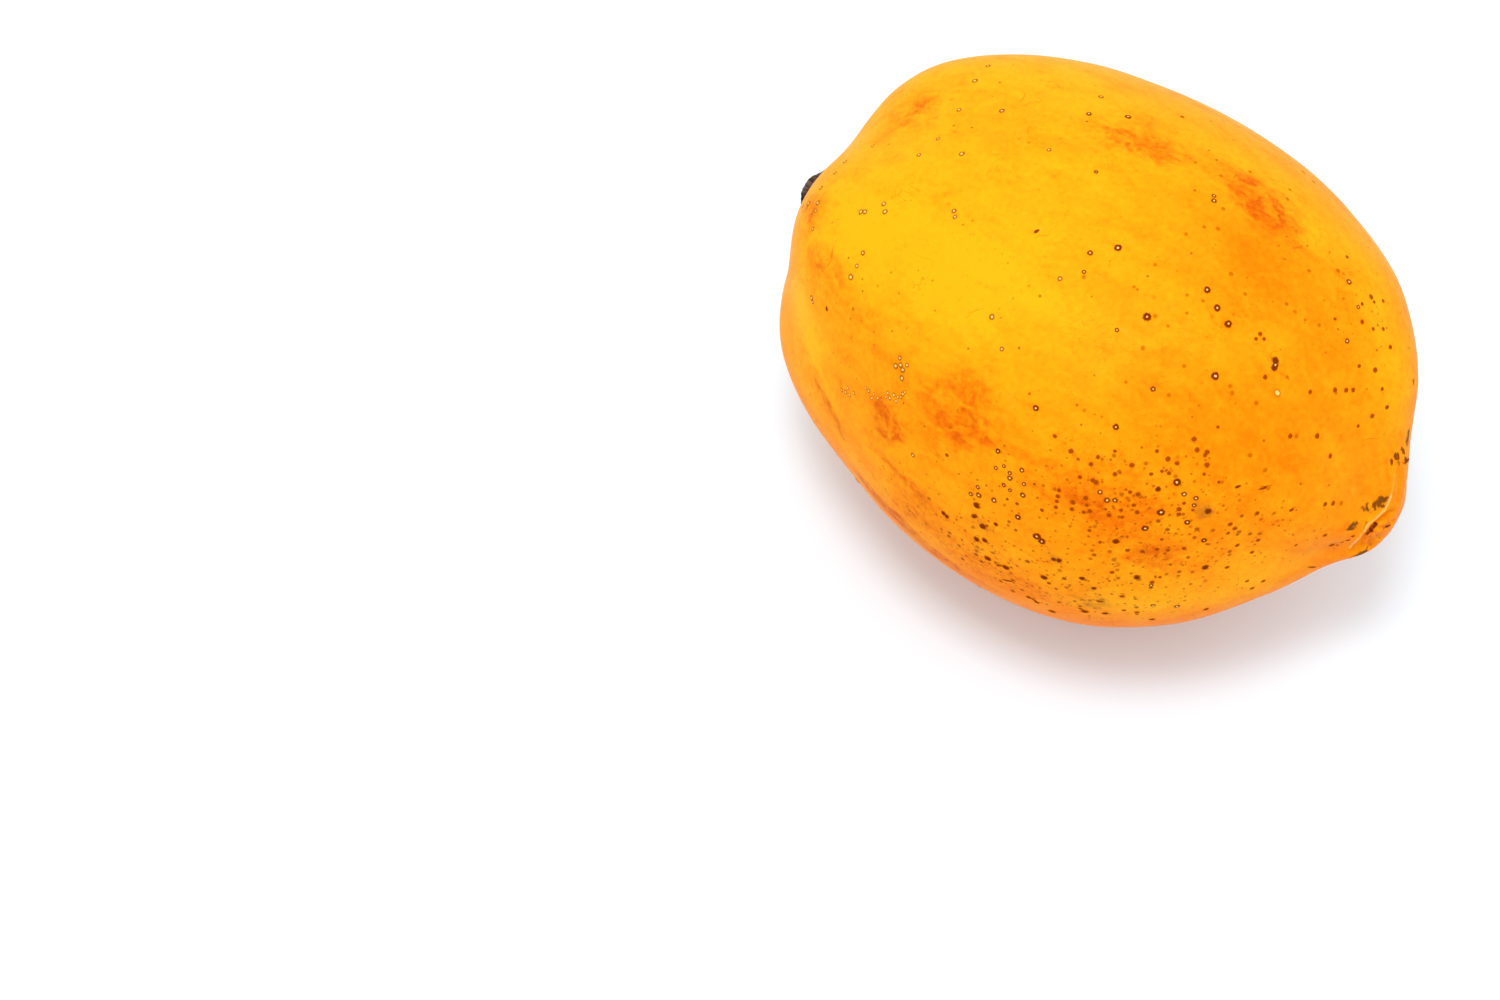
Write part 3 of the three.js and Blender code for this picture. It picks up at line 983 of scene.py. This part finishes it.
def stub_tree(material):
    bench, sizes = new_tree("stalk stub", STUB_SIZES)
    counts = sizes["Rings"], sizes["Segments"]
    grid, height, radius, turn = turned_grid(bench, sizes["Geometry"], *counts)
    angle = math.pi / 2 - turn
    fine_crest = sum(size for _, size, _ in FINE_WAVES)
    fine = sizes["Fine folds"] * (sum_of_waves(FINE_WAVES, angle) - fine_crest)
    pinch = sizes["Fold depth"] * sum_of_waves(FOLD_WAVES, angle) + fine
    wide = 1 + pinch * ease(height, *FOLD_HEIGHTS)
    torn = ease(height, *TEAR_HEIGHTS) * ease(radius, *TEAR_RADII)
    tear = sizes["Tear height"] * sum_of_waves(TEAR_WAVES, angle)
    far_side = 0.5 + 0.5 * cosine(turn)
    lift = (tear - sizes["Slant"] * far_side * far_side) * torn
    bent = ease(height, *LEAN_HEIGHTS)
    x = STUB_FOOT - height - lift
    y = radius * wide * cosine(turn) - sizes["Lean"] * bent + STUB_SIDE
    z = radius * wide * sine(turn) + sizes["Rise"] * bent
    lain = laid_down(bench, sizes, x, y, z)
    shape = bench.node("GeometryNodeSetPosition", values={"Geometry": grid, "Position": lain})
    shape = bench.node("GeometryNodeMergeByDistance", values={"Geometry": shape, "Distance": WELD})
    closed_and_smooth(bench, shape, material)
    return bench


STALK = bpy.data.materials.new("dried stalk")
stub_outline = outline_curve("stub_outline", STUB_OUTLINE)
stub = run_tree(stub_outline, stub_tree(STALK), STUB_SIZES, "papaya_stalk_stub")
bpy.data.objects.remove(stub_outline)
report(stub)

# %% [markdown]
# ## The colour of the skin
# Ripe skin goes from yellow on top to orange at the blossom end, with red-orange blush in cloudy
# patches, a film of tiny brown freckles on the lower side, and a few olive stains. Part of the yellow
# on top and of the orange below is painted light and shade, some blush patches and scar lines are
# painted shade, and a pale line on the lip is a painted highlight. A photograph could be wrapped
# around the fruit, but then every other side would be blurred or missing. The fields made above say
# where, and noise on Object coordinates breaks them up, so all sides look alike.

# %% Colours and noises of the skin
YELLOW = (0.88, 0.385, 0.005)
ORANGE = (0.84, 0.19, 0.0005)
# Red-orange of the blush, also used for painted shade at the blossom end and the lower-left edge.
BLUSH_AND_SHADE = (0.61, 0.1, 0.0005)
RED_FRECKLE = (0.32, 0.055, 0.0005)
OLIVE = (0.14, 0.10, 0.012)
# Dark red-brown of the scar, also used for painted shade along the valley behind the lip.
SCAR_AND_SHADE_BROWN = (0.11, 0.006, 0.0005)
SMUDGE_BROWN = (0.12, 0.038, 0.003)
# A pale line along the lip of the blossom end: a painted highlight.
PAINTED_LIP_HIGHLIGHT = (0.95, 0.58, 0.2)
SPOT_BROWN = (0.18, 0.026, 0.0005)
NOISE_MIDDLE = 0.5
CLOUDS = (40, 2.0)  # scale, detail and distortion of each noise
MOTTLE = (210, 5.0, 0.6)
GRAIN = (750, 3.0)
FIBRES = (380, 6.0, 1.0)
HAIRLINES = (120, 2.0, 0.8)
SCRATCHED = (60, 1.0)
MOTTLE_STRETCH = (0.45, 1.0, 1.0)
FIBRE_STRETCH = (0.7, 1.0, 1.0)


# %% Helpers for materials
def material_bench(material):
    material.use_nodes = True
    bench = Bench(material.node_tree)
    place = bench.node("ShaderNodeTexCoord", out="Object")
    return bench, place, bench.tree.nodes["Principled BSDF"]


def finish(bench, shader, values):
    for name, value in values.items():
        bench.fill(shader.inputs[name], value)


def field(bench, name):
    return bench.node("ShaderNodeAttribute", {"attribute_name": name}, out="Fac")


def uneven(shares, *noises):
    """Noises added up by their shares, each moved so that it swings about 0."""
    return sum(share * (wave - NOISE_MIDDLE) for share, wave in zip(shares, noises))


def patchy(cover, fibrous, grain):
    """How far a stain covers: by one share evenly, by others along the fibres and by the grain."""
    evenly, by_fibres, by_grain = cover
    return evenly + by_fibres * fibrous + uneven([by_grain], grain)


# %% [markdown]
# The base colour is mixed first, and the stains are laid over it one by one, as thin washes of paint
# would be; the painted highlight on the lip and the painted shade in the scar lines are laid on the
# same way. Each wash sets in over a range of its field, so its edge breaks up where noise pushes the
# field across that range. The marks are given the same colour, so that no rim shows around them.

# %% The colour that the skin and the rims of its marks share
ORANGE_SHARES = (0.45, 0.8, 0.7)  # of clouds, mottle and grain in the change to orange
FIBRE_RANGE = (0.36, 0.66)
BLUSH_AND_SHADE_EDGE = (1.4, 0.3)  # shares of mottle and grain
BLUSH_AND_SHADE_RANGE = (0.1, 1.3)
BLUSH_AND_SHADE_COVER = (0.35, 0.6, 0.8)  # evenly, along the fibres and by the grain
OLIVE_EDGE = (1.6, 0.96)
SMUDGE_COVER = (0.5, 0.9, 2.4)
SCAR_AND_SHADE_EDGE = (0.5, 0.5)  # shares of fibres and grain
SCRATCH_WIDTH = 0.006
SCRATCH_RANGE = (0.5, 0.6)
SCRATCH_STRENGTH = 0.4
STAIN_AND_LIGHT_WASHES = {  # the range over which each wash sets in, its strength and its colour
    "olive": ((0.25, 1.3), 0.6, OLIVE),
    # the lip's wash is a painted highlight, not a stain
    "lip_highlight": ((0.2, 0.9), 0.55, PAINTED_LIP_HIGHLIGHT),
    "smudge": ((0.3, 0.9), 0.9, SMUDGE_BROWN),
    # scar tissue, with painted shade along the valley behind the lip
    "scar_and_shade": ((0.25, 0.95), 0.95, SCAR_AND_SHADE_BROWN),
}


def stain_and_light_wash(bench, colour, amount, wash):
    reach, strength, tint = STAIN_AND_LIGHT_WASHES[wash]
    return bench.mix(ease(amount, *reach) * strength, colour, tint)


def scratches(bench, place):
    """Fine winding lines where a noise crosses its middle, on some parts of the skin only."""
    gap = maths("ABSOLUTE", noise(bench, place, *HAIRLINES) - NOISE_MIDDLE)
    somewhere = ease(noise(bench, place, *SCRATCHED), *SCRATCH_RANGE)
    return (1 - ease(gap, 0.0, SCRATCH_WIDTH)) * somewhere


def skin_colour(bench, place):
    """The colour of the skin with blush, stains, scratches and painted light and shade, and the noises its
    gloss follows.
    """
    cloud = noise(bench, place, *CLOUDS)
    mottle = noise(bench, place * MOTTLE_STRETCH, *MOTTLE)
    grain = noise(bench, place, *GRAIN)
    fibrous = ease(noise(bench, place * FIBRE_STRETCH, *FIBRES), *FIBRE_RANGE)
    # the change to orange also carries painted light on top and painted shade below
    orange_light_and_shade_share = field(bench, "orange_light_and_shade") + uneven(ORANGE_SHARES, cloud, mottle, grain)
    colour = bench.mix(orange_light_and_shade_share, YELLOW, ORANGE)
    # blush, with painted shade at the blossom end and along the lower-left edge
    blush_and_shade = ease(field(bench, "blush_and_shade") + uneven(BLUSH_AND_SHADE_EDGE, mottle, grain), *BLUSH_AND_SHADE_RANGE)
    colour = bench.mix(blush_and_shade * patchy(BLUSH_AND_SHADE_COVER, fibrous, grain), colour, BLUSH_AND_SHADE)
    olive = field(bench, "olive") + uneven(OLIVE_EDGE, mottle, grain)
    colour = stain_and_light_wash(bench, colour, olive, "olive")
    colour = bench.mix(scratches(bench, place) * SCRATCH_STRENGTH, colour, RED_FRECKLE)
    # a painted highlight along the lip
    colour = stain_and_light_wash(bench, colour, field(bench, "lip_highlight"), "lip_highlight")
    smudge = field(bench, "smudge") * patchy(SMUDGE_COVER, fibrous, grain)
    colour = stain_and_light_wash(bench, colour, smudge, "smudge")
    # scar tissue, and painted shade along the valley behind the lip
    scar_and_shade = field(bench, "scar_and_shade") + uneven(SCAR_AND_SHADE_EDGE, fibrous, grain)
    return stain_and_light_wash(bench, colour, scar_and_shade, "scar_and_shade"), mottle, grain, blush_and_shade


# %% [markdown]
# The freckles are far too many to place one by one. A Voronoi texture cuts the skin into cells, and
# some of the cells get a round dot, more of them where the field of freckles is strong. Five kinds of
# dot, from a faint blot to a dark spot, keep the film from looking like an even pattern.

# %% Dots for the freckles
DOTS = {  # shift of the pattern, cells in a metre, radius in mm, and which cells have a dot:
    # the share that comes with the freckles, and the share that is there without them
    "faint": ((0.0, 0.0, 0.0), 330, 0.8, 0.0, 0.2),
    "tiny": ((0.3, 0.1, 0.2), 1500, 0.24, 0.6, 0.05),
    "small": ((0.0, 0.0, 0.0), 700, 0.5, 0.8, 0.02),
    "medium": ((0.1, 0.2, 0.3), 420, 0.75, 0.55, 0.0),
    "dark": ((0.2, 0.3, 0.1), 480, 0.85, 0.9, -0.36),
}
DOT_STRENGTHS = {"faint": 0.25, "tiny": 0.5, "small": 0.8, "medium": 0.75, "dark": 0.9}
SMALLEST_DOT = 0.5
FAINTEST_DOT = 0.55
DOT_CORE = 0.4


def dots(bench, place, freckled, kind):
    """Round spots of one kind: 1 in the middle of the strongest, 0 between them."""
    shift, scale, radius_mm, freckled_share, plain_share = DOTS[kind]
    settings = {"feature": "F1"}
    cells = bench.node("ShaderNodeTexVoronoi", settings, {"Vector": place + shift, "Scale": scale})
    chance, size, tone = bench.split(Wire(bench, cells.socket.node.outputs["Color"]))
    kept = maths("LESS_THAN", chance, freckled * freckled_share + plain_share)
    edge = radius_mm * MM * scale * (SMALLEST_DOT + (1 - SMALLEST_DOT) * size)
    shade = FAINTEST_DOT + (1 - FAINTEST_DOT) * tone
    return kept * shade * (1 - ease(cells, edge * DOT_CORE, edge))


# %% The skin's material
def dress_skin():
    bench, place, shader = material_bench(SKIN)
    colour, mottle, grain, blush_and_shade = skin_colour(bench, place)
    freckled = field(bench, "freckled")
    spots = {kind: dots(bench, place, freckled, kind) for kind in DOTS}
    cover = {kind: spots[kind] * strength for kind, strength in DOT_STRENGTHS.items()}
    colour = bench.mix(maths("MAXIMUM", cover["faint"], cover["tiny"]), colour, RED_FRECKLE)
    colour = bench.mix(maths("MAXIMUM", cover["small"], cover["medium"]), colour, RED_FRECKLE)
    colour = bench.mix(cover["dark"], colour, SPOT_BROWN)
    height = grain * 0.35 + mottle * 0.65 + (spots["small"] + spots["medium"]) * 0.3
    bump = bench.node("ShaderNodeBump", values={"Strength": 0.2, "Distance": 0.3 * MM, "Height": height})
    finish(bench, shader, {
        "Base Color": colour,
        "Roughness": 0.4 + mottle * 0.14 + blush_and_shade * 0.06,
        "Normal": bump,
        "Specular IOR Level": 0.018,
        "Sheen Weight": 0.05,
        "Sheen Roughness": 0.3,
        "Subsurface Weight": 0.05,
        "Subsurface Radius": (1.0, 0.4, 0.1),
        "Subsurface Scale": 2 * MM,
    })


dress_skin()

# %% [markdown]
# A pore has a pale middle, partly cork and partly a painted highlight, and a brown ring, a spot is
# brown all over, and both fade into the colour of the skin at their rim. Each kind could have a
# material of its own. One material for all reads each mark's paleness, redness and depth from its
# attributes instead.

# %% The marks' material
# The pale middle of a pore: corky, and a painted highlight.
CORK_AND_HIGHLIGHT = (0.92, 0.56, 0.15)
PORE_RING = (0.19, 0.025, 0.0005)
LIGHT_RING = (0.38, 0.1, 0.006)
SPECKS = (1500, 2.0)
RAGGEDNESS = [0.6]
RIM_START = 0.5  # as a share of the mark's radius, as the next five are
PALE_RIM_START = 0.15
CORK_AND_HIGHLIGHT_CORE = 0.1
CORK_AND_HIGHLIGHT_EDGE = 0.3
RED_CORE = 0.15
RED_EDGE = 0.18


def dress_pores():
    bench, place, shader = material_bench(PORE)
    across = field(bench, "across")
    speck = noise(bench, place, *SPECKS)
    red, pale_and_highlight = field(bench, "red"), field(bench, "pale_and_highlight")
    ring = bench.mix(red, PORE_RING, LIGHT_RING)
    brown = bench.mix(pale_and_highlight, bench.mix(red, SPOT_BROWN, RED_FRECKLE), ring)
    colour, *_ = skin_colour(bench, place)
    brown = bench.mix(field(bench, "depth"), colour, brown)
    edge = across + uneven(RAGGEDNESS, speck)
    colour = bench.mix(ease(edge, RIM_START + PALE_RIM_START * pale_and_highlight, 1.0), brown, colour)
    middle = 1 - ease(edge, CORK_AND_HIGHLIGHT_CORE + RED_CORE * red, CORK_AND_HIGHLIGHT_EDGE + RED_EDGE * red)
    # pale middle: cork, with a painted highlight
    colour = bench.mix(middle * pale_and_highlight, colour, CORK_AND_HIGHLIGHT)
    bump = bench.node("ShaderNodeBump", values={"Strength": 0.3, "Distance": 0.1 * MM, "Height": speck})
    finish(bench, shader, {
        "Base Color": colour,
        "Roughness": 0.5 + speck * 0.2,
        "Normal": bump,
        "Specular IOR Level": 0.005,
    })


dress_pores()

# %% [markdown]
# Dried stalk is nearly black with grey fibres along it. A photograph of bark would show its seam, so
# one noise is stretched along the stub for the fibres, and a second one lets them come and go.

# %% The stub's material
DARK_STALK = (0.01, 0.006, 0.004)
GREY_STALK = (0.17, 0.11, 0.085)
STALK_FIBRES = (1400, 3.0)
STALK_PATCHES = (350, 2.0)
STALK_STRETCH = (0.25, 1.0, 1.0)
STALK_RANGE = (0.3, 0.7)


def dress_stub():
    bench, place, shader = material_bench(STALK)
    fibre = ease(noise(bench, place * STALK_STRETCH, *STALK_FIBRES), *STALK_RANGE)
    patch = noise(bench, place, *STALK_PATCHES)
    colour = bench.mix(fibre * 0.8 + patch * 0.3 - 0.1, DARK_STALK, GREY_STALK)
    height = fibre + patch * 0.5
    bump = bench.node("ShaderNodeBump", values={"Strength": 0.6, "Distance": 0.2 * MM, "Height": height})
    finish(bench, shader, {
        "Base Color": colour,
        "Roughness": 0.75 + patch * 0.2,
        "Normal": bump,
        "Specular IOR Level": 0.1,
    })


dress_stub()

# %% [markdown]
# ## Floor and light
# The floor is plain and nearly white. A white world fills the shadows, as a light tent would, and
# one small soft light hangs overhead, a little towards the camera, which keeps the shadow short.

# %% Floor and light
FLOOR_SIZE = 6
FLOOR_WAVES = (3, 1.0)
FLOOR_TONES = ((0.745, 0.86, 0.93), (0.765, 0.88, 0.95))
bpy.ops.mesh.primitive_plane_add(size=FLOOR_SIZE)
floor = bpy.context.object
floor.name = "floor"
floor_paint = bpy.data.materials.new("white floor")
floor.data.materials.append(floor_paint)


def dress_floor():
    bench, place, shader = material_bench(floor_paint)
    colour = bench.mix(noise(bench, place, *FLOOR_WAVES), *FLOOR_TONES)
    finish(bench, shader, {"Base Color": colour, "Roughness": 0.7, "Specular IOR Level": 0.2})


dress_floor()
print("floor tones", FLOOR_TONES)

# %% The white world and the lamp
WORLD_STRENGTH = 1.15
world = bpy.data.worlds.new("studio")
world.use_nodes = True
world.node_tree.nodes["Background"].inputs["Color"].default_value = (1, 1, 1, 1)
world.node_tree.nodes["Background"].inputs["Strength"].default_value = WORLD_STRENGTH
bpy.context.scene.world = world

LAMP_SIZE = 0.35
LAMP_WATTS = 7
LAMP_PLACE = Vector((0.02, -0.3, 1.4))
LAMP_AIM = Vector((0, 0, 0.05))


def add_lamp(name, place, size, watts):
    light = bpy.data.lights.new(name, "AREA")
    light.shape = "SQUARE"
    light.size = size
    light.energy = watts
    lamp = bpy.data.objects.new(name, light)
    lamp.location = place
    lamp.rotation_euler = (LAMP_AIM - place).to_track_quat("-Z", "Y").to_euler()
    bpy.context.scene.collection.objects.link(lamp)


add_lamp("window_light", LAMP_PLACE, LAMP_SIZE, LAMP_WATTS)

# %% [markdown]
# ## The pieces on the body
# Each piece is named and rides on the object's one body, and the solids that it stands for are hidden.
# The pores could be joined to the skin, but as a piece of their own they keep their own material and mesh.

# %% Join the pieces to the model
for piece in (skin, pore_piece):
    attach(piece, "root")
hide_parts("fruit")
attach(stub, "root")
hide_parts("stalk_stub")
